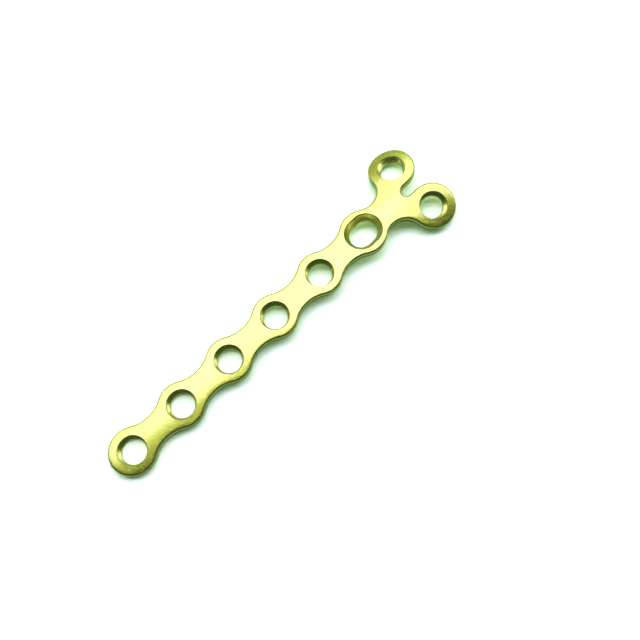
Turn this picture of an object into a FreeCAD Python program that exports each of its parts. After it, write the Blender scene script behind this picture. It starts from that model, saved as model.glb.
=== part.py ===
# Small locking bone plate with a forked head, in millimetres.
# The blank is drawn flat: x runs along the shaft from the tail hole to the head, s runs across it.
# It is then laid on a skin that is slightly crowned over the shaft and curved more at the head.

import FreeCAD, Part
import math
import os

V = FreeCAD.Vector
V2 = FreeCAD.Base.Vector2d

# Shaft: a row of round lobes, one round each hole, joined by hollow arcs
hole_spacing = 6.5
locking_holes = 5
tail_radius = 2.5
lobe_radius = 2.46
waist_width = 3.02
last_lobe_radius = 2.6

# Forked head: two round ears with a slot between them
ear_reach = 7.5
ear_spread = 6.36
ear_radius = 2.58
neck_radius = 2.19
slot_root = 6.6

# Section
thickness = 1.0
crown_radius = 24.0
head_radius = 14.7
bend_start = 0.65
bend_length = 4.3
top_bevel = 0.15
bevel_blend = 0.25
bottom_bevel = 0.12

# Locking holes: a conical mouth for the thread of the screw's head, then a round land
mouth_radius = 1.52
mouth_depth = 0.8
land_radius = 1.3
hole_break = 0.06

# Oblong hole: a bowl in which a round-headed screw can slide, over a shorter slot
bowl_radius = 1.9
bowl_depth = 1.21
bowl_travel = 0.75
slot_width = 2.64
slot_travel = 0.6

# How far the cutting tools and the skins reach past the plate
overrun = 1.0
skin_margin = 3.0

oblong_x = locking_holes * hole_spacing
ear_x = oblong_x + ear_reach
ear_s = ear_spread / 2


def section(radius, height):
    """Poles of the arc across the plate, whose parameter runs evenly from edge to edge."""
    half_width = ear_s + ear_radius + skin_margin
    count = 7
    turns = [half_width / radius * (2 * i / (count - 1) - 1) for i in range(count)]
    reach = radius + height
    arc = Part.BezierCurve()
    arc.interpolate([[V(0, reach * math.sin(t), reach * math.cos(t) - radius)] for t in turns])
    return arc.getPoles()


def skin(height):
    """Bent surface whose two parameters are the flat blank's x and s.

    The four rows of poles at the tail lie on the shaft's arc and the four at the head on the
    head's, so one section runs smoothly into the other between the four knots of the bend."""
    half_width = ear_s + ear_radius + skin_margin
    bend = [oblong_x + bend_start + bend_length * i / 3 for i in range(4)]
    knots = [-tail_radius - skin_margin] + bend + [ear_x + ear_radius + skin_margin]
    clamped = knots[:1] * 3 + knots + knots[-1:] * 3
    rows = [section(crown_radius, height)] * 4 + [section(head_radius, height)] * 4
    stations = [sum(clamped[i + 1:i + 4]) / 3 for i in range(len(rows))]
    poles = [[V(x, p.y, p.z) for p in row] for x, row in zip(stations, rows)]
    order = len(rows[0])
    surface = Part.BSplineSurface()
    surface.buildFromPolesMultsKnots(
        poles, [4, 1, 1, 1, 1, 4], [order, order], knots, [-half_width, half_width],
        False, False, 3, order - 1)
    return surface


def touching_centre(c1, r1, c2, r2, radius):
    """Centre, on the far side from the axis, of an arc that touches two circles from outside."""
    span = math.hypot(c2[0] - c1[0], c2[1] - c1[1])
    ux, uy = (c2[0] - c1[0]) / span, (c2[1] - c1[1]) / span
    a = ((r1 + radius) ** 2 - (r2 + radius) ** 2 + span ** 2) / (2 * span)
    h = math.sqrt((r1 + radius) ** 2 - a ** 2)
    return c1[0] + ux * a - uy * h, c1[1] + uy * a + ux * h


def angle(centre, point):
    return math.atan2(point[1] - centre[1], point[0] - centre[0])


def blank_arc(centre, radius, start, end):
    """Arc of the flat outline, anticlockwise from start to end."""
    circle = Part.Geom2d.Circle2d(V2(*centre), radius)
    while end < start:
        end += 2 * math.pi
    return Part.Geom2d.ArcOfCircle2d(circle, start, end)


def half_outline():
    """Flat outline of the +s half: lobes joined by hollow arcs, the neck, one ear, half the slot."""
    waist = waist_width / 2
    hollow = (hole_spacing ** 2 / 4 + waist ** 2 - lobe_radius ** 2) / (2 * (lobe_radius - waist))
    circles = [((0.0, 0.0), tail_radius)]
    circles += [((i * hole_spacing, 0.0), lobe_radius) for i in range(1, locking_holes)]
    circles.append(((oblong_x, 0.0), last_lobe_radius))
    circles.append(((ear_x, ear_s), ear_radius))
    joins = [hollow] * locking_holes + [neck_radius]
    outline = []
    leave = math.pi
    for (c1, r1), (c2, r2), join in zip(circles, circles[1:], joins):
        centre = touching_centre(c1, r1, c2, r2, join)
        outline.append(blank_arc(c1, r1, angle(c1, centre), leave))
        outline.append(blank_arc(centre, join, angle(centre, c1), angle(centre, c2)))
        leave = angle(c2, centre)
    outline.append(blank_arc(circles[-1][0], ear_radius, -math.pi / 2, leave))
    slot_half = ear_s - ear_radius
    root_x = oblong_x + slot_root
    outline.append(Part.Geom2d.Line2dSegment(V2(ear_x, slot_half), V2(root_x, slot_half)))
    outline.append(blank_arc((root_x, 0.0), slot_half, math.pi / 2, math.pi))
    return outline


def mirrored(curve):
    copy = curve.copy()
    copy.mirror(V2(0, 0), V2(1, 0))
    return copy


def block_between(upper, lower):
    """Closed solid between two skins of the same size."""
    lids = [upper.toShape(), lower.toShape()]
    edges = zip(lids[0].Edges, lids[1].Edges)
    shell = Part.Shell(lids + [Part.makeRuledSurface(a, b) for a, b in edges])
    shell.sewShape()
    return Part.Solid(shell)


def outline_wall():
    """Upright wall round the outline, square to the bent plate and taller than it is thick."""
    upper = skin(overrun)
    lower = skin(-thickness - overrun)
    outline = half_outline()
    outline += [mirrored(curve) for curve in outline]
    shell = Part.Shell([Part.makeRuledSurface(curve.toShape(upper), curve.toShape(lower))
                        for curve in outline])
    shell.sewShape()
    return shell


def largest_face(body, height):
    """The skin face of the body, found by a point of it that no outline edge or hole touches."""
    probe = Part.Vertex(skin(height).value(hole_spacing / 2, 0.0))
    return min(body.Faces, key=lambda face: face.distToShape(probe)[0])


def blank_body():
    """The bent plate before its holes: bevelled all round, the top bevel blended into the skin."""
    sheet = block_between(skin(0.0), skin(-thickness))
    pieces = sheet.generalFuse([outline_wall()])[0].Solids
    body = min(pieces, key=lambda piece: piece.Volume)
    body = body.makeChamfer(top_bevel, largest_face(body, 0.0).Edges)
    body = body.makeFillet(bevel_blend, largest_face(body, 0.0).Edges)
    return body.makeChamfer(bottom_bevel, largest_face(body, -thickness).Edges)


def placed(tool, x, s):
    """A cutting tool made about Z, with the top skin at zero, set square to the plate."""
    top = skin(0.0)
    turn = FreeCAD.Rotation(V(0, 0, 1), top.normal(x, s))
    copy = tool.copy()
    copy.Placement = FreeCAD.Placement(top.value(x, s), turn)
    return copy


def turned(profile):
    """Solid of revolution about Z from (radius, height) pairs."""
    points = [V(radius, 0, height) for radius, height in profile]
    face = Part.Face(Part.makePolygon(points + points[:1]))
    return face.revolve(V(0, 0, 0), V(0, 0, 1), 360)


def underside_break(radius):
    """Cone that takes the sharp edge off a round hole on the underside."""
    return [(radius, -thickness + hole_break), (radius + hole_break + overrun, -thickness - overrun)]


def locking_tool():
    """Turned tool for a locking hole: a cone for the mouth, a land, a broken edge below."""
    slope = (mouth_radius - land_radius) / mouth_depth
    profile = [(0, overrun), (mouth_radius + slope * overrun, overrun), (land_radius, -mouth_depth)]
    return turned(profile + underside_break(land_radius) + [(0, -thickness - overrun)])


def drawn_out(tool, section, travel):
    """The tool at both ends of its travel along the shaft, with its section carried between."""
    half = V(travel / 2, 0, 0)
    bridge = section.translated(-half).extrude(2 * half)
    return bridge.fuse([tool.translated(half), tool.translated(-half)])


def section_of(profile):
    """Upright face with the full width of a turned tool."""
    right = [V(0, radius, height) for radius, height in profile]
    left = [V(0, -radius, height) for radius, height in reversed(profile)]
    return Part.Face(Part.makePolygon(right + left + right[:1]))


def oblong_tool():
    """Ball-shaped bowl drawn out along the shaft, over a shorter slot that goes right through."""
    rise = V(0, 0, bowl_radius - bowl_depth)
    half = V(bowl_travel / 2, 0, 0)
    ends = [Part.makeSphere(bowl_radius, rise + half), Part.makeSphere(bowl_radius, rise - half)]
    bowl = Part.makeCylinder(bowl_radius, bowl_travel, rise - half, V(1, 0, 0)).fuse(ends)
    radius = slot_width / 2
    profile = [(radius, overrun)] + underside_break(radius)
    drill = turned([(0, overrun)] + profile + [(0, -thickness - overrun)])
    return bowl.fuse(drawn_out(drill, section_of(profile), slot_travel))


def plate():
    body = blank_body()
    places = [(i * hole_spacing, 0.0) for i in range(locking_holes)]
    places += [(ear_x, ear_s), (ear_x, -ear_s)]
    tools = [placed(locking_tool(), x, s) for x, s in places]
    tools.append(placed(oblong_tool(), oblong_x, 0.0))
    return body.cut(tools)


def at_rest(body):
    """Tip the plate until its tail and the outer tips of its ears stand on z = 0."""
    underside = skin(-thickness)
    tail = underside.value(0.0, tail_radius)
    ear = underside.value(ear_x, ear_s + ear_radius)
    lean = math.degrees(math.atan2(tail.z - ear.z, ear.x - tail.x))
    tipped = body.copy()
    tipped.rotate(V(0, 0, 0), V(0, 1, 0), -lean)
    box = tipped.optimalBoundingBox(False)
    tipped.translate(V(-box.Center.x, -box.Center.y, -box.ZMin))
    return tipped


os.makedirs("parts", exist_ok=True)
at_rest(plate()).exportStep("parts/bone_plate.step")
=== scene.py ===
# %% [markdown]
# A mini bone plate, dressed for a picture
# The real object is one small piece of titanium. It is cut flat from sheet, its edges are rounded,
# its holes are drilled and tapped, and then it is pressed to the curve of a bone, blasted to a
# satin and anodised a pale gold. This lesson follows that order, because a flat blank is much
# easier to draw than a bent one, and a press is a rule that Geometry Nodes can carry out.

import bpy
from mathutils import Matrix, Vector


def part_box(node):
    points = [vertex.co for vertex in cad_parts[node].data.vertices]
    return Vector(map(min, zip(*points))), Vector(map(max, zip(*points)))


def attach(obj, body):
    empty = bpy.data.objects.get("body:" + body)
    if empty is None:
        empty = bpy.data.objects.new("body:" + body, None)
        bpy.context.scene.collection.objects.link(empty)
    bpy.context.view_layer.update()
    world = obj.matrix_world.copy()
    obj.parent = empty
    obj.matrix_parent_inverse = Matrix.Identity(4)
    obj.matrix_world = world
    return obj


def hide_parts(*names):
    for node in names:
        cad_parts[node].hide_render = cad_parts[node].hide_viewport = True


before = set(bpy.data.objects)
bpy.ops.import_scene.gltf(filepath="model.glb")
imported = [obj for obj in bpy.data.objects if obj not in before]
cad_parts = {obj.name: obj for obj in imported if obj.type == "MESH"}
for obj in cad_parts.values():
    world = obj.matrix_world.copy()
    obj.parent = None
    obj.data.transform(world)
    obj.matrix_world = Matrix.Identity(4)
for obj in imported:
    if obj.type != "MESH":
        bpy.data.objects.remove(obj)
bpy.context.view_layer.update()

# %% Tools and the box to stay inside
import math

import bmesh
import bpy
from mathutils import Matrix, Quaternion, Vector
from mathutils.geometry import delaunay_2d_cdt

low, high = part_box("bone_plate")
print("plate, mm:", [round((high[i] - low[i]) * 1000, 3) for i in range(3)])

# %% [markdown]
# The sizes, in millimetres
# They are the same ones that drive the solid. The blank is drawn in two coordinates: x along the
# shaft from the middle of the tail hole, and s across it. A third one, the height, is zero on the
# top skin and negative in the metal.

# %% Sizes of the blank
MM = 0.001
hole_spacing = 6.5
shaft_holes = 5
tail_radius = 2.5
lobe_radius = 2.46
waist_width = 3.02
last_lobe_radius = 2.6
ear_radius = 2.58
neck_radius = 2.19
ear_reach = 7.5
ear_spread = 6.36
slot_root = 6.6
oblong_x = shaft_holes * hole_spacing
ear_x = oblong_x + ear_reach
ear_s = ear_spread / 2
slot_root_x = oblong_x + slot_root
slot_half = ear_s - ear_radius
thickness = 1.0
top_round = 0.25
under_round = 0.17
print("flat blank, mm:", round(tail_radius + ear_x + ear_radius, 2), "long,",
      round(2 * (ear_s + ear_radius), 2), "wide")

# %% [markdown]
# The outline
# On the real plate every hole has a round lobe of metal about it, and hollow arcs join the lobes.
# So the outline is a chain of circular arcs, each touching the next. Half of it is enough: the
# other half is its mirror image. Every point also keeps the direction that looks away from the
# metal, because the rounding of the edge is made by stepping inwards along it.

# %% A chain of touching arcs
STEP = 0.09


def touching_centre(c1, r1, c2, r2, radius):
    """Centre of the hollow arc that touches two lobes from outside."""
    span = math.dist(c1, c2)
    ux, uy = (c2[0] - c1[0]) / span, (c2[1] - c1[1]) / span
    a = ((r1 + radius) ** 2 - (r2 + radius) ** 2 + span ** 2) / (2 * span)
    h = math.sqrt((r1 + radius) ** 2 - a * a)
    return (c1[0] + ux * a - uy * h, c1[1] + uy * a + ux * h)


def bearing(centre, point):
    return math.atan2(point[1] - centre[1], point[0] - centre[0])


def arc(centre, radius, start, end, facing):
    """Points of an arc with their outward direction. Facing is 1 on a lobe and -1 in a hollow."""
    count = max(2, math.ceil(abs(end - start) * radius / STEP))
    chain = []
    for i in range(count):
        t = start + (end - start) * i / count
        c, s = math.cos(t), math.sin(t)
        chain.append((centre[0] + radius * c, centre[1] + radius * s, facing * c, facing * s))
    return chain


# %% Half the outline, then all of it
def half_outline():
    half_waist = waist_width / 2
    reach = hole_spacing ** 2 / 4 + half_waist ** 2 - lobe_radius ** 2
    hollow = reach / (2 * (lobe_radius - half_waist))
    lobes = [((0.0, 0.0), tail_radius)]
    lobes += [((i * hole_spacing, 0.0), lobe_radius) for i in range(1, shaft_holes)]
    lobes += [((oblong_x, 0.0), last_lobe_radius), ((ear_x, ear_s), ear_radius)]
    joins = [hollow] * shaft_holes + [neck_radius]
    chain, leave = [], math.pi
    for (c1, r1), (c2, r2), join in zip(lobes, lobes[1:], joins):
        centre = touching_centre(c1, r1, c2, r2, join)
        chain += arc(c1, r1, leave, bearing(c1, centre), 1)
        chain += arc(centre, join, bearing(centre, c1), bearing(centre, c2), -1)
        leave = bearing(c2, centre)
    chain += arc(lobes[-1][0], ear_radius, leave, -math.pi / 2, 1)
    run = ear_x - slot_root_x
    count = math.ceil(run / STEP)
    chain += [(ear_x - run * i / count, slot_half, 0.0, -1.0) for i in range(count)]
    chain += arc((slot_root_x, 0.0), slot_half, math.pi / 2, math.pi, -1)
    chain.append((slot_root_x - slot_half, 0.0, 1.0, 0.0))
    return chain


upper = half_outline()
lower_half = [(x, -s, nx, -ns) for x, s, nx, ns in reversed(upper[1:-1])]
outline = list(reversed(upper + lower_half))
print("outline points:", len(outline), "from x =", round(min(p[0] for p in outline), 2),
      "to", round(max(p[0] for p in outline), 2))

# %% [markdown]
# The edge
# Seen in section the edge is a round at the top that flows into the skin, an upright wall, and a
# smaller round below. A bevel would do from far away, but it is the round that draws the dark line
# along the near edge. Each row of the section is a pair: how far in from the outline, and how high.

# %% Section of the edge
def quarter(radius, steps, point):
    return [point(radius, math.pi / 2 * i / steps) for i in range(steps + 1)]


def over(r, a):
    return r - r * math.sin(a), r * math.cos(a) - r


def under(r, a):
    return r - r * math.cos(a), r - thickness - r * math.sin(a)


edge_section = quarter(top_round, 9, over)
edge_section += [(0.0, -0.5 * (top_round + thickness - under_round))]
edge_section += quarter(under_round, 4, under)
print("rows in the edge:", len(edge_section))

# %% [markdown]
# The holes
# Seven are round and take screws with a threaded head. One, nearest the head, is a smooth bowl
# over a short slot, in which an ordinary screw can slide while the plate is still being placed.
# The skins only need the rims of the holes here: circles for the seven, and for the eighth a
# stadium, which is two half circles with straight sides between them.

# %% Sizes of the holes
mouth_radius = 1.52
mouth_depth = 0.8
land_radius = 1.3
hole_break = 0.06
rim_break = 0.045
around = 96
round_holes = [(i * hole_spacing, 0.0) for i in range(shaft_holes)]
round_holes += [(ear_x, ear_s), (ear_x, -ear_s)]
bowl_radius = 1.9
bowl_depth = 1.21
bowl_rise = bowl_radius - bowl_depth
bowl_travel = 0.75
slot_width = 2.64
slot_travel = 0.6
bowl_half = math.sqrt(bowl_radius ** 2 - bowl_rise ** 2)
print("bowl at the top skin, mm:", round(2 * bowl_half, 2), "wide")


def ring(centre, radius, travel=0.0):
    """Points round a circle, or round a stadium when it has some travel."""
    points = []
    for i in range(around):
        t = -2 * math.pi * (i + 0.5 * (travel > 0)) / around
        shift = math.copysign(travel / 2, math.cos(t))
        points.append((centre[0] + shift + radius * math.cos(t), centre[1] + radius * math.sin(t)))
    return points


# %% [markdown]
# The skins
# A skin is the flat area between the edge and the rims. Blender can fill it with well shaped
# triangles if it is given the loops as fixed edges and a scatter of points inside. The points
# matter, because the press can only bend a surface where it has corners to move.

# %% Filling a skin with triangles
GRID = 0.3
ROW = 0.866 * GRID
CLEAR = 0.6 * GRID
SAME_POINT = 1e-7


def far_from(point, loops, gap):
    return all(math.dist(point, q) > gap for loop in loops for q in loop)


def inside(point, loop):
    """True when the point lies within the loop, by counting crossings."""
    x, y = point
    hit = False
    for (x1, y1), (x2, y2) in zip(loop, loop[1:] + loop[:1]):
        if (y1 > y) != (y2 > y) and x < (x2 - x1) * (y - y1) / (y2 - y1) + x1:
            hit = not hit
    return hit


def scatter(border, holes):
    points = []
    rows = math.ceil(2 * (ear_s + ear_radius) / ROW)
    columns = math.ceil((ear_x + ear_radius + tail_radius) / GRID)
    for j in range(rows + 1):
        s = (j - rows / 2) * ROW
        for i in range(columns + 1):
            x = -tail_radius + (i + 0.5 * (j % 2)) * GRID
            near = [[q for q in loop if abs(q[0] - x) < GRID and abs(q[1] - s) < GRID]
                    for loop in [border] + holes]
            if far_from((x, s), near, CLEAR) and inside((x, s), border):
                if not any(inside((x, s), hole) for hole in holes):
                    points.append((x, s))
    return points


def fill(border, holes):
    """Triangles of the area inside the border and outside the holes."""
    points, edges = [], []
    for loop in [border] + holes:
        first = len(points)
        points += loop
        edges += [(first + i, first + (i + 1) % len(loop)) for i in range(len(loop))]
    points += scatter(border, holes)
    flat, _, faces, _, _, _ = delaunay_2d_cdt([Vector(p) for p in points], edges, [], 1, SAME_POINT)
    kept = []
    for face in faces:
        middle = sum((flat[i] for i in face), Vector((0, 0))) / 3
        if not any(inside(middle, hole) for hole in holes):
            kept.append(tuple(face))
    return [tuple(p) for p in flat], kept


# %% The flat blank
blank = bmesh.new()


def add_points(points, height):
    return [blank.verts.new((x * MM, s * MM, height * MM)) for x, s in points]


def bridge(upper_row, lower_row):
    """Faces between two closed rows of the same length."""
    count = len(upper_row)
    for i in range(count):
        j = (i + 1) % count
        blank.faces.new((upper_row[i], lower_row[i], lower_row[j], upper_row[j]))


def stepped_in(distance):
    return [(x - nx * distance, s - ns * distance) for x, s, nx, ns in outline]


def add_skin(distance, height, hole_radius, slot_rim, turned_over):
    holes = [ring(c, hole_radius) for c in round_holes] + [slot_rim]
    flat, faces = fill(stepped_in(distance), holes)
    corners = add_points(flat, height)
    for face in faces:
        a, b, c = (corners[i] for i in face)
        blank.faces.new((a, c, b) if turned_over else (a, b, c))


top_rim = ring((oblong_x, 0.0), bowl_half + rim_break, bowl_travel)
under_rim = ring((oblong_x, 0.0), slot_width / 2 + hole_break, slot_travel)
add_skin(edge_section[0][0], 0.0, mouth_radius + rim_break, top_rim, False)
add_skin(edge_section[-1][0], -thickness, land_radius + hole_break, under_rim, True)
edge_rows = [add_points(stepped_in(inset), height) for inset, height in edge_section]
for row, next_row in zip(edge_rows, edge_rows[1:]):
    bridge(row, next_row)
print("blank so far:", len(blank.verts), "points,", len(blank.faces), "faces")

# %% [markdown]
# The bowl of the oblong hole
# The cutter is a ball. It goes in at one end, travels along the shaft and comes out, so the depth
# at any place depends only on how far that place is from the line of travel. The rows of the bowl
# run from its rim down to the slot, and each point simply drops to the ball's surface. At the rim
# and at the slot a narrow row takes the sharp edge off, and three rows go straight down the slot.

# %% Bowl and slot
def ball_height(point):
    """Height of the bowl's surface below the top skin at a place in the blank."""
    beside = max(abs(point[0] - oblong_x) - bowl_travel / 2, 0.0)
    reach = min(math.hypot(beside, point[1]), bowl_half)
    return min(bowl_rise - math.sqrt(bowl_radius ** 2 - reach ** 2), 0.0)


def between(loop_a, loop_b, t):
    return [(a[0] + (b[0] - a[0]) * t, a[1] + (b[1] - a[1]) * t) for a, b in zip(loop_a, loop_b)]


def add_row(points, heights):
    return [blank.verts.new((x * MM, s * MM, h * MM)) for (x, s), h in zip(points, heights)]


BOWL_ROWS = 17
LIP_SHARE, LIP_DROP, SLOT_DROP = 0.05, 0.02, 0.03
bowl_edge = ring((oblong_x, 0.0), bowl_half, bowl_travel)
slot_edge = ring((oblong_x, 0.0), slot_width / 2, slot_travel)
lip = between(bowl_edge, slot_edge, LIP_SHARE)
rows = [add_points(top_rim, 0.0), add_row(lip, [ball_height(p) - LIP_DROP for p in lip])]
for i in range(2, BOWL_ROWS):
    loop = between(bowl_edge, slot_edge, i / BOWL_ROWS)
    rows.append(add_row(loop, [ball_height(p) for p in loop]))
heights = [ball_height(p) - SLOT_DROP for p in slot_edge]
rows.append(add_row(slot_edge, heights))
foot = hole_break - thickness
for t in (0.35, 0.7, 1.0):
    rows.append(add_row(slot_edge, [h + (foot - h) * t for h in heights]))
rows.append(add_points(under_rim, -thickness))
for row, next_row in zip(rows, rows[1:]):
    bridge(row, next_row)
bmesh.ops.remove_doubles(blank, verts=blank.verts, dist=0.0005 * MM)
blank_mesh = bpy.data.meshes.new("blank")
blank.to_mesh(blank_mesh)
blank.free()
plate = bpy.data.objects.new("anodised_plate", blank_mesh)
bpy.context.scene.collection.objects.link(plate)
print("blank with its bowl:", len(blank_mesh.vertices), "points")

# %% [markdown]
# A few words for building node trees
# A Geometry Nodes tree is long when every node is written out. These helpers add a node, join
# sockets, and write a sum the way it would be read aloud.

# %% Helpers for node trees
def new_tree(name, inputs):
    tree = bpy.data.node_groups.new(name, "GeometryNodeTree")
    tree.interface.new_socket("Geometry", in_out="INPUT", socket_type="NodeSocketGeometry")
    for label, kind in inputs:
        tree.interface.new_socket(label, in_out="INPUT", socket_type="NodeSocket" + kind)
    tree.interface.new_socket("Geometry", in_out="OUTPUT", socket_type="NodeSocketGeometry")
    return tree


def add(tree, kind, **settings):
    node = tree.nodes.new(kind)
    for key, value in settings.items():
        setattr(node, key, value)
    return node


def feed(tree, socket, value):
    """Join an output to a socket, or write a plain value on it."""
    if isinstance(value, bpy.types.NodeSocket):
        tree.links.new(value, socket)
    else:
        socket.default_value = value


def sums(tree):
    """A short way to write one line of arithmetic as one node."""
    def do(operation, *values):
        node = add(tree, "ShaderNodeMath", operation=operation)
        for socket, value in zip(node.inputs, values):
            feed(tree, socket, value)
        return node.outputs[0]
    return do


def run_tree(piece, tree, values):
    """Put a tree on a piece, set its named inputs, and keep what it makes as a plain mesh."""
    modifier = piece.modifiers.new(tree.name, "NODES")
    modifier.node_group = tree
    sockets = {item.name: item.identifier for item in tree.interface.items_tree
               if item.item_type == "SOCKET" and item.in_out == "INPUT"}
    for label, value in values.items():
        modifier[sockets[label]] = value
    graph = bpy.context.evaluated_depsgraph_get()
    made = bpy.data.meshes.new_from_object(piece.evaluated_get(graph))
    piece.modifiers.remove(modifier)
    piece.data = made
    print(tree.name, "->", len(made.vertices), "points,", len(made.polygons), "faces")


# %% [markdown]
# The tapped holes
# A locking hole is a steep cone with a fine thread, over a plain round land. The thread could be
# painted on as bump, but it catches the light along the rims, so it is cut here for real. One wall
# is enough for all seven. It starts as a flat grid whose width is the way round and whose height is
# the way down, and a rule gives each point its radius: the cone, the land, the broken rims, and a
# groove that winds down as it goes round. The wall is then set at each hole and welded to the rims.

# %% Sizes of the thread
thread_pitch = 0.25
thread_groove = 0.16
thread_end = 0.8
thread_starts = (0.05, 0.16)
thread_runs_out = 0.12
steps_down = 50
print("turns of thread in each hole:", thread_end / thread_pitch)


# %% Radius of the wall at each depth
def wall_radius(tree, depth, turn, size):
    do = sums(tree)
    cone = do("SUBTRACT", size["Mouth radius"], do("MULTIPLY", depth, size["Slope"]))
    radius = do("MAXIMUM", cone, size["Land radius"])
    top_break = do("SUBTRACT", do("ADD", size["Mouth radius"], size["Rim break"]), depth)
    radius = do("MAXIMUM", radius, top_break)
    above_foot = do("SUBTRACT", size["Thickness"], size["Foot break"])
    foot_break = do("ADD", size["Land radius"], do("SUBTRACT", depth, above_foot))
    radius = do("MAXIMUM", radius, foot_break)
    wave = do("PINGPONG", do("ADD", do("DIVIDE", depth, size["Pitch"]), turn), 0.5)
    groove = do("MULTIPLY", do("MULTIPLY", wave, 2.0), size["Groove"])
    return do("ADD", radius, do("MULTIPLY", groove, fade(tree, depth, size)))


def fade(tree, depth, size):
    """One over the threaded part of the wall, running out to nothing at both ends."""
    starts = add(tree, "ShaderNodeMapRange", interpolation_type="SMOOTHSTEP")
    feed(tree, starts.inputs["Value"], depth)
    feed(tree, starts.inputs["From Min"], thread_starts[0] * MM)
    feed(tree, starts.inputs["From Max"], thread_starts[1] * MM)
    ends = add(tree, "ShaderNodeMapRange", interpolation_type="SMOOTHSTEP")
    feed(tree, ends.inputs["Value"], depth)
    feed(tree, ends.inputs["From Min"], size["Thread end"])
    full = sums(tree)("SUBTRACT", size["Thread end"], thread_runs_out * MM)
    feed(tree, ends.inputs["From Max"], full)
    return sums(tree)("MULTIPLY", starts.outputs["Result"], ends.outputs["Result"])


# %% The tree that taps the holes
lengths = ["Thickness", "Mouth radius", "Land radius", "Slope", "Rim break", "Foot break", "Pitch",
           "Groove", "Thread end", "Spacing"]
tap_sizes = [(label, "Float") for label in lengths]
tap_sizes += [(label, "Int") for label in ("Steps round", "Steps down", "Shaft holes")]
tap_sizes += [(label, "Vector") for label in ("Ear place", "Ear gap")]
tap_tree = new_tree("tapped_holes", tap_sizes)
group_in = add(tap_tree, "NodeGroupInput").outputs
do = sums(tap_tree)
grid = add(tap_tree, "GeometryNodeMeshGrid")
feed(tap_tree, grid.inputs["Vertices X"], do("ADD", group_in["Steps round"], 1))
feed(tap_tree, grid.inputs["Vertices Y"], do("ADD", group_in["Steps down"], 1))
place = add(tap_tree, "ShaderNodeSeparateXYZ")
feed(tap_tree, place.inputs[0], add(tap_tree, "GeometryNodeInputPosition").outputs[0])
turn = do("ADD", place.outputs["X"], 0.5)
depth = do("MULTIPLY", do("SUBTRACT", 0.5, place.outputs["Y"]), group_in["Thickness"])
radius = wall_radius(tap_tree, depth, turn, group_in)
angle = do("MULTIPLY", turn, -2 * math.pi)
wall_place = add(tap_tree, "ShaderNodeCombineXYZ")
feed(tap_tree, wall_place.inputs["X"], do("MULTIPLY", radius, do("COSINE", angle)))
feed(tap_tree, wall_place.inputs["Y"], do("MULTIPLY", radius, do("SINE", angle)))
feed(tap_tree, wall_place.inputs["Z"], do("MULTIPLY", depth, -1.0))
wall = add(tap_tree, "GeometryNodeSetPosition")
feed(tap_tree, wall.inputs["Geometry"], grid.outputs["Mesh"])
feed(tap_tree, wall.inputs["Position"], wall_place.outputs[0])

# %% The places of the holes, and the weld
stride = add(tap_tree, "ShaderNodeCombineXYZ")
feed(tap_tree, stride.inputs["X"], group_in["Spacing"])
shaft_line = add(tap_tree, "GeometryNodeMeshLine", mode="OFFSET")
feed(tap_tree, shaft_line.inputs["Count"], group_in["Shaft holes"])
feed(tap_tree, shaft_line.inputs["Offset"], stride.outputs[0])
ear_line = add(tap_tree, "GeometryNodeMeshLine", mode="OFFSET")
feed(tap_tree, ear_line.inputs["Count"], 2)
feed(tap_tree, ear_line.inputs["Start Location"], group_in["Ear place"])
feed(tap_tree, ear_line.inputs["Offset"], group_in["Ear gap"])
centres = add(tap_tree, "GeometryNodeJoinGeometry")
for line in (ear_line, shaft_line):
    tap_tree.links.new(line.outputs[0], centres.inputs[0])
walls = add(tap_tree, "GeometryNodeInstanceOnPoints")
feed(tap_tree, walls.inputs["Points"], centres.outputs[0])
feed(tap_tree, walls.inputs["Instance"], wall.outputs[0])
real_walls = add(tap_tree, "GeometryNodeRealizeInstances")
feed(tap_tree, real_walls.inputs[0], walls.outputs[0])
joined = add(tap_tree, "GeometryNodeJoinGeometry")
tap_tree.links.new(real_walls.outputs[0], joined.inputs[0])
tap_tree.links.new(group_in["Geometry"], joined.inputs[0])
welded = add(tap_tree, "GeometryNodeMergeByDistance")
feed(tap_tree, welded.inputs["Geometry"], joined.outputs[0])
feed(tap_tree, welded.inputs["Distance"], 0.001 * MM)
tap_tree.links.new(welded.outputs[0], add(tap_tree, "NodeGroupOutput").inputs[0])

# %% Tap the holes
run_tree(plate, tap_tree, {
    "Thickness": thickness * MM, "Mouth radius": mouth_radius * MM, "Land radius": land_radius * MM,
    "Slope": (mouth_radius - land_radius) / mouth_depth, "Rim break": rim_break * MM,
    "Foot break": hole_break * MM, "Pitch": thread_pitch * MM, "Groove": thread_groove * MM,
    "Thread end": thread_end * MM, "Steps round": around, "Steps down": steps_down,
    "Shaft holes": shaft_holes, "Spacing": hole_spacing * MM,
    "Ear place": Vector((ear_x, -ear_s, 0)) * MM, "Ear gap": Vector((0, 2 * ear_s, 0)) * MM})

# %% [markdown]
# The press
# Pressed on the die, a line across the shaft becomes a shallow arc and a line across the head a
# tighter one, with an easy change between them. Both arcs are worked out for every point, and an
# eased mix picks between them by how far along the plate the point is. The same tree then tips the
# plate and sets it down as it would lie: on its tail and on the outer tips of its two ears.

# %% Sizes of the die
crown_radius = 24.0
head_radius = 14.7
bend_start = oblong_x + 1.0
bend_end = oblong_x + 4.6
print("the press bends between x =", bend_start, "and", bend_end)


# %% The tree that presses the plate
def on_arc(tree, across, height, bend):
    """Where a point goes when the line across the plate is bent to a radius."""
    do = sums(tree)
    reach, turn = do("ADD", bend, height), do("DIVIDE", across, bend)
    y = do("MULTIPLY", reach, do("SINE", turn))
    z = do("SUBTRACT", do("MULTIPLY", reach, do("COSINE", turn)), bend)
    return y, z


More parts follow.
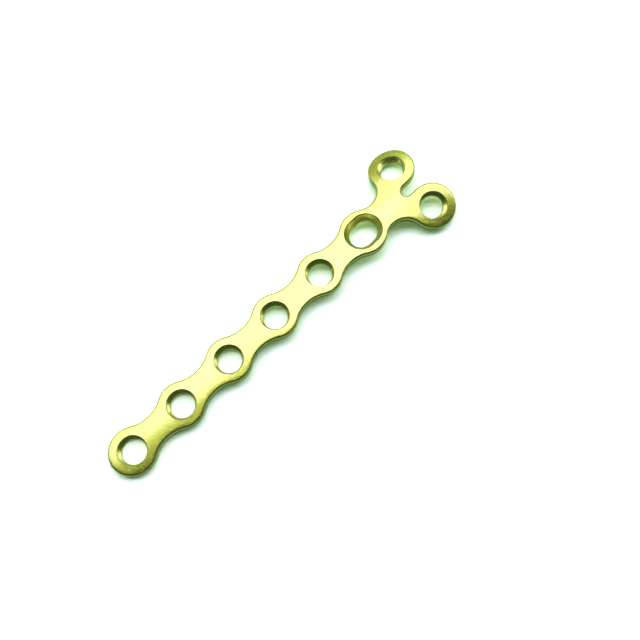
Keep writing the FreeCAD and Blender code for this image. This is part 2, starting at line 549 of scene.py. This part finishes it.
lengths = ("Crown radius", "Head radius", "Bend start", "Bend end")
press_sizes = [(label, "Float") for label in lengths]
press_sizes += [("Lean", "Vector"), ("Set down", "Vector"), ("Finish", "Material")]
press_tree = new_tree("press", press_sizes)
group_in = add(press_tree, "NodeGroupInput").outputs
do = sums(press_tree)
place = add(press_tree, "ShaderNodeSeparateXYZ")
feed(press_tree, place.inputs[0], add(press_tree, "GeometryNodeInputPosition").outputs[0])
along, across, height = place.outputs
ease = add(press_tree, "ShaderNodeMapRange", interpolation_type="SMOOTHERSTEP")
feed(press_tree, ease.inputs["Value"], along)
feed(press_tree, ease.inputs["From Min"], group_in["Bend start"])
feed(press_tree, ease.inputs["From Max"], group_in["Bend end"])
shaft_y, shaft_z = on_arc(press_tree, across, height, group_in["Crown radius"])
head_y, head_z = on_arc(press_tree, across, height, group_in["Head radius"])
pressed_place = add(press_tree, "ShaderNodeCombineXYZ")
feed(press_tree, pressed_place.inputs["X"], along)
for axis, shaft_value, head_value in (("Y", shaft_y, head_y), ("Z", shaft_z, head_z)):
    share = do("MULTIPLY", do("SUBTRACT", head_value, shaft_value), ease.outputs["Result"])
    feed(press_tree, pressed_place.inputs[axis], do("ADD", shaft_value, share))
pressed = add(press_tree, "GeometryNodeSetPosition")
feed(press_tree, pressed.inputs["Geometry"], group_in["Geometry"])
feed(press_tree, pressed.inputs["Position"], pressed_place.outputs[0])
lying = add(press_tree, "GeometryNodeTransform")
feed(press_tree, lying.inputs["Geometry"], pressed.outputs[0])
feed(press_tree, lying.inputs["Rotation"], group_in["Lean"])
feed(press_tree, lying.inputs["Translation"], group_in["Set down"])
real = add(press_tree, "GeometryNodeRealizeInstances")
feed(press_tree, real.inputs[0], lying.outputs[0])
finished = add(press_tree, "GeometryNodeSetMaterial")
feed(press_tree, finished.inputs["Geometry"], real.outputs[0])
feed(press_tree, finished.inputs["Material"], group_in["Finish"])
press_tree.links.new(finished.outputs[0], add(press_tree, "NodeGroupOutput").inputs[0])

# %% [markdown]
# The finish
# Titanium takes its colour from a clear skin of oxide that anodising grows on it. It is a metal
# with a gold reflection under a glassy skin, so a metallic Principled shader with a coat gives it.
# Fine blasting leaves it satin with a tiny grain, which shows in the colour, in the gloss and as
# shallow pits. The colour drifts a little over the plate, and edges that tumbling has rubbed are a
# touch paler. The bowl of the oblong hole is coarser than the skin, so it mirrors nothing clearly.
# All the patterns read Object coordinates. They keep to the metal when the plate is looked at from
# elsewhere, and they need no unwrapping.

# %% Helpers for the material
def shader_node(tree, kind, place, **inputs):
    node = tree.nodes.new(kind)
    node.location = place
    for label, value in inputs.items():
        feed(tree, node.inputs[label.replace("_", " ")], value)
    return node


def ramp(tree, place, source, stops):
    node = shader_node(tree, "ShaderNodeValToRGB", place, Fac=source)
    while len(node.color_ramp.elements) < len(stops):
        node.color_ramp.elements.new(0.5)
    for element, (position, colour) in zip(node.color_ramp.elements, stops):
        element.position = position
        element.color = (*colour, 1.0)
    return node.outputs["Color"]


def between_values(tree, place, source, start, end, low_value=0.0, high_value=1.0):
    """Turn a range of one value into a range of another."""
    node = shader_node(tree, "ShaderNodeMapRange", place, Value=source, From_Min=start,
                       From_Max=end, To_Min=low_value, To_Max=high_value)
    return node.outputs["Result"]


def mixed(tree, place, share, first, second, blend="MIX"):
    """Mix two colours. Each may be an output of a node or a plain colour."""
    node = tree.nodes.new("ShaderNodeMix")
    node.location = place
    node.data_type = "RGBA"
    node.blend_type = blend
    for socket, value in zip((node.inputs["Factor"], node.inputs[6], node.inputs[7]),
                             (share, first, second)):
        feed(tree, socket, value)
    return node.outputs[2]


# %% Where the plate and its bowl end up
lean = math.radians(1.3085)
set_down = Vector((-20.0502, 0, 1.1163)) * MM
bowl_centre = Matrix.Rotation(-lean, 3, "Y") @ Vector((oblong_x, 0, 0)) * MM + set_down
print("bowl centre, mm:", [round(1000 * v, 2) for v in bowl_centre])

# %% Gold anodised titanium
anodised = bpy.data.materials.new("gold_anodised_titanium")
anodised.use_nodes = True
tree = anodised.node_tree
surface = tree.nodes["Principled BSDF"]
surface.inputs["Metallic"].default_value = 1.0
surface.inputs["Coat Weight"].default_value = 1.0
surface.inputs["Coat Roughness"].default_value = 0.14
surface.inputs["Coat IOR"].default_value = 2.45
where = shader_node(tree, "ShaderNodeTexCoord", (-1500, 0)).outputs["Object"]
drift = shader_node(tree, "ShaderNodeTexNoise", (-1200, 300), Vector=where, Scale=260.0, Detail=3.0)
colour = ramp(tree, (-950, 300), drift.outputs["Fac"],
              [(0.35, (0.82, 0.87, 0.075)), (0.65, (0.88, 0.92, 0.10))])
geometry = shader_node(tree, "ShaderNodeNewGeometry", (-1200, 0))
rubbed = ramp(tree, (-950, 0), geometry.outputs["Pointiness"],
              [(0.52, (0, 0, 0)), (0.60, (1, 1, 1))])
worn = mixed(tree, (-600, 200), rubbed, colour, (0.90, 0.92, 0.13, 1))

# %% Blasted grain in the colour
grain = shader_node(tree, "ShaderNodeTexNoise", (-1200, -300), Vector=where, Scale=9500.0,
                    Detail=2.0, Roughness=0.7).outputs["Fac"]
speckle = ramp(tree, (-950, 600), grain, [(0.36, (0.80, 0.80, 0.80)), (0.60, (1, 1, 1))])
feed(tree, surface.inputs["Base Color"], mixed(tree, (-400, 300), 1.0, worn, speckle, "MULTIPLY"))

# %% The bowl is coarser than the skin
away = shader_node(tree, "ShaderNodeVectorMath", (-1200, -700), Vector=where)
away.operation = "DISTANCE"
away.inputs[1].default_value = bowl_centre
near_bowl = between_values(tree, (-950, -700), away.outputs["Value"], 2.40 * MM, 2.30 * MM)
height_now = shader_node(tree, "ShaderNodeSeparateXYZ", (-1200, -900), Vector=where).outputs["Z"]
below_skin = between_values(tree, (-950, -900), height_now, bowl_centre.z - 0.10 * MM,
                            bowl_centre.z - 0.18 * MM)
do = sums(tree)
coarse = do("MULTIPLY", do("MULTIPLY", near_bowl, below_skin), 0.22)

# %% Satin grain
satin = between_values(tree, (-950, -300), grain, 0.3, 0.7, 0.13, 0.24)
feed(tree, surface.inputs["Roughness"], do("ADD", satin, coarse))
pits = shader_node(tree, "ShaderNodeBump", (-700, -500), Height=grain, Strength=1.0,
                   Distance=0.018 * MM)
feed(tree, surface.inputs["Normal"], pits.outputs["Normal"])
print("finish ready:", anodised.name)

# %% [markdown]
# Pressing, and handing the piece over
# The lean and the lift come from the plate itself: it stands on the underside of its tail and of
# its ear tips, and the middle of its box is the middle of the frame. After the press the mesh is
# plain, so the piece can take the place of the CAD node.

# %% Press the plate
run_tree(plate, press_tree, {
    "Crown radius": crown_radius * MM, "Head radius": head_radius * MM,
    "Bend start": bend_start * MM, "Bend end": bend_end * MM,
    "Lean": Vector((0, -lean, 0)), "Set down": set_down, "Finish": anodised})
SHARP_ANGLE = math.radians(35)
plate.data.shade_smooth()
plate.data.set_sharp_from_angle(angle=SHARP_ANGLE)

# %% Measure it against the solid
for name, pick, corner in (("low", min, low), ("high", max, high)):
    now = [pick(v.co[i] for v in plate.data.vertices) for i in range(3)]
    print(name, "mm:", [round(1000 * v, 3) for v in now],
          "CAD", [round(1000 * v, 3) for v in corner])
check = bmesh.new()
check.from_mesh(plate.data)
print("open edges:", sum(1 for edge in check.edges if not edge.is_manifold),
      "volume, mm3:", round(check.calc_volume() * 1e9, 2))
check.free()

# %% Hand it over
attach(plate, "root")
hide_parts("bone_plate")

# %% [markdown]
# The floor
# The plate lies on plain white paper. To the camera the paper is as bright as a page, which takes
# no more light on the plate, and it still darkens where the plate keeps the light off it. It is a
# little greener than grey, so the shadow comes out green, as it does in the photograph. The metal
# mirrors it at the tone of real paper, or the shadow under the plate would glow yellow.

# %% Paper
paper = bpy.data.materials.new("white_paper")
paper.use_nodes = True
tree = paper.node_tree
tree.nodes.remove(tree.nodes["Principled BSDF"])
rays = shader_node(tree, "ShaderNodeLightPath", (-800, 0)).outputs
through = sums(tree)("MAXIMUM", rays["Is Glossy Ray"], rays["Is Transmission Ray"])
LIT_PAPER, MIRRORED_PAPER, PAGE = (0.8, 0.8, 0.8, 1), (0.62, 0.82, 0.66, 1), (2.4, 2.75, 2.65, 1)
mirrored = mixed(tree, (-400, 0), through, LIT_PAPER, MIRRORED_PAPER)
tone = mixed(tree, (-200, 0), rays["Is Camera Ray"], mirrored, PAGE)
sheet = shader_node(tree, "ShaderNodeBsdfDiffuse", (0, 0), Color=tone)
tree.links.new(sheet.outputs[0], tree.nodes["Material Output"].inputs["Surface"])

# %% The sheet itself
half = 0.35
corners = [(-half, -half, 0), (half, -half, 0), (half, half, 0), (-half, half, 0)]
floor_mesh = bpy.data.meshes.new("paper")
floor_mesh.from_pydata(corners, [], [(0, 1, 2, 3)])
floor_mesh.materials.append(paper)
floor = bpy.data.objects.new("paper_floor", floor_mesh)
bpy.context.scene.collection.objects.link(floor)
print("paper, m:", 2 * half)

# %% [markdown]
# The light
# A satin metal shows the lamps more than its own shape, so the lamps are big soft panels. The main
# one hangs over the plate and a little behind it, where the flat of the plate mirrors it to the
# camera. Its near edge is placed so that the slopes on the near side just miss it: they mirror the
# dim room and turn olive. A small panel makes the middle of the plate paler, and a weak one behind
# lights the far ear. All of them are squared up to the picture, not to the plate.

# %% Lamps
PICTURE_TURN = math.radians(-39.5)
WHITE = (1.0, 1.0, 1.0)


def panel(name, place, width, depth, radiance, colour):
    """A soft panel that faces the plate, with its sides along the sides of the picture."""
    data = bpy.data.lights.new(name, "AREA")
    data.shape = "RECTANGLE"
    data.size, data.size_y = width, depth
    data.energy = radiance * math.pi * width * depth
    data.color = colour
    lamp = bpy.data.objects.new(name, data)
    lamp.location = place
    lamp.rotation_euler = (0, 0, PICTURE_TURN)
    bpy.context.scene.collection.objects.link(lamp)
    print(name, round(data.energy, 2), "W")


panel("overhead_panel", (0.3226, 0.1573, 0.60), 1.90, 0.537, radiance=1.5, colour=WHITE)
panel("panel_centre", (0.085, 0.185, 0.58), 0.36, 0.24, radiance=0.75, colour=WHITE)
panel("back_panel", (0.65, 0.79, 0.60), 1.60, 0.86, radiance=0.37, colour=(0.90, 1.0, 0.55))

# %% [markdown]
# The room
# Beyond the lamps there is a dim, slightly green room. The camera sees a white page there instead,
# and the metal mirrors some of that page where it lies low down, on the far side and at both sides.
# The near side stays dim, because that is what turns the near slopes olive in the photograph.

# %% A dim room and a white page
world = bpy.data.worlds.new("dim_room")
bpy.context.scene.world = world
world.use_nodes = True
tree = world.node_tree
room = tree.nodes["Background"]
room.inputs["Color"].default_value = (0.70, 1.0, 0.75, 1)
room.inputs["Strength"].default_value = 0.07
page = shader_node(tree, "ShaderNodeBackground", (-200, -200), Color=(1, 1, 1, 1), Strength=1.0)

# %% Where the metal mirrors the page
TO_FAR_SIDE = (0.635, 0.772, 0)
PAGE_IN_METAL = 0.5
rays = shader_node(tree, "ShaderNodeLightPath", (-800, 300)).outputs
direction = shader_node(tree, "ShaderNodeTexCoord", (-1200, 0)).outputs["Generated"]
facing = shader_node(tree, "ShaderNodeVectorMath", (-1000, 0), Vector=direction)
facing.operation = "DOT_PRODUCT"
facing.inputs[1].default_value = TO_FAR_SIDE
far_side = between_values(tree, (-800, 0), facing.outputs["Value"], -0.35, 0.0)
rise = shader_node(tree, "ShaderNodeSeparateXYZ", (-1000, -300), Vector=direction).outputs["Z"]
low_down = between_values(tree, (-800, -300), rise, 0.42, 0.25)
do = sums(tree)
through = do("MAXIMUM", rays["Is Glossy Ray"], rays["Is Transmission Ray"])
in_metal = do("MULTIPLY", do("MULTIPLY", far_side, low_down), PAGE_IN_METAL)
share = do("MAXIMUM", rays["Is Camera Ray"], do("MULTIPLY", through, in_metal))
seen = shader_node(tree, "ShaderNodeMixShader", (100, 0), Fac=share)
tree.links.new(room.outputs[0], seen.inputs[1])
tree.links.new(page.outputs[0], seen.inputs[2])
tree.links.new(seen.outputs[0], tree.nodes["World Output"].inputs["Surface"])
print("room ready:", world.name)

# %% [markdown]
# The camera
# The photograph looks down steeply from the near left. The place was worked out from the outline
# of the plate in the picture, together with the plate's own size.

# %% Camera
azimuth, elevation, roll = (math.radians(v) for v in (-129.36, 72.87, -5.57))
LOOKED_AT = Vector((2.67, -3.29, 0.0)) * MM
DISTANCE = 76.77 * MM
towards = Vector((math.cos(elevation) * math.cos(azimuth), math.cos(elevation) * math.sin(azimuth),
                  math.sin(elevation)))
view_data = bpy.data.cameras.new("camera")
view_data.sensor_width = 36.0
view_data.lens = 41.29
view_data.clip_start = 0.002
camera = bpy.data.objects.new("camera", view_data)
camera.location = LOOKED_AT + towards * DISTANCE
camera.rotation_mode = "QUATERNION"
camera.rotation_quaternion = towards.to_track_quat("Z", "Y") @ Quaternion((0, 0, 1), roll)
bpy.context.scene.collection.objects.link(camera)
bpy.context.scene.camera = camera
bpy.context.scene.view_settings.view_transform = "Standard"
print("camera at, mm:", [round(1000 * v, 2) for v in camera.location])
